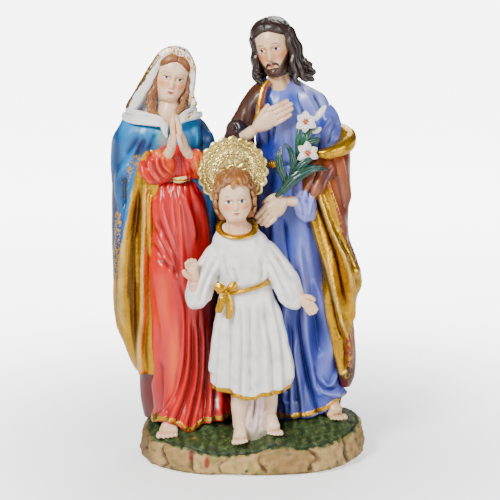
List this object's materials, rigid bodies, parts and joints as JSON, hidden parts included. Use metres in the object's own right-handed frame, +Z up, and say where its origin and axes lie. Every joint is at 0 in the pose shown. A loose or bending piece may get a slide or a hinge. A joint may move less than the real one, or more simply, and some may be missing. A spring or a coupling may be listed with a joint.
{
  "type": "religious statue",
  "caption": "Painted cast resin holy family statuette on a rocky base, with a stamped gilt halo behind the child's head.",
  "frame": {"origin": "on the surface the statuette stands on, under the middle of its base", "axes": "+Z up; the figures face -Y; +X is to the viewer's right"},
  "size_m": [0.1741, 0.1011, 0.2995],
  "materials": {
    "painted_resin": "gloss hand-painted resin",
    "gilt_metal": "bright stamped brass"
  },
  "bodies": {
    "root": {"holy_family_group": "painted_resin", "halo": "gilt_metal"}
  },
  "joints": []
}
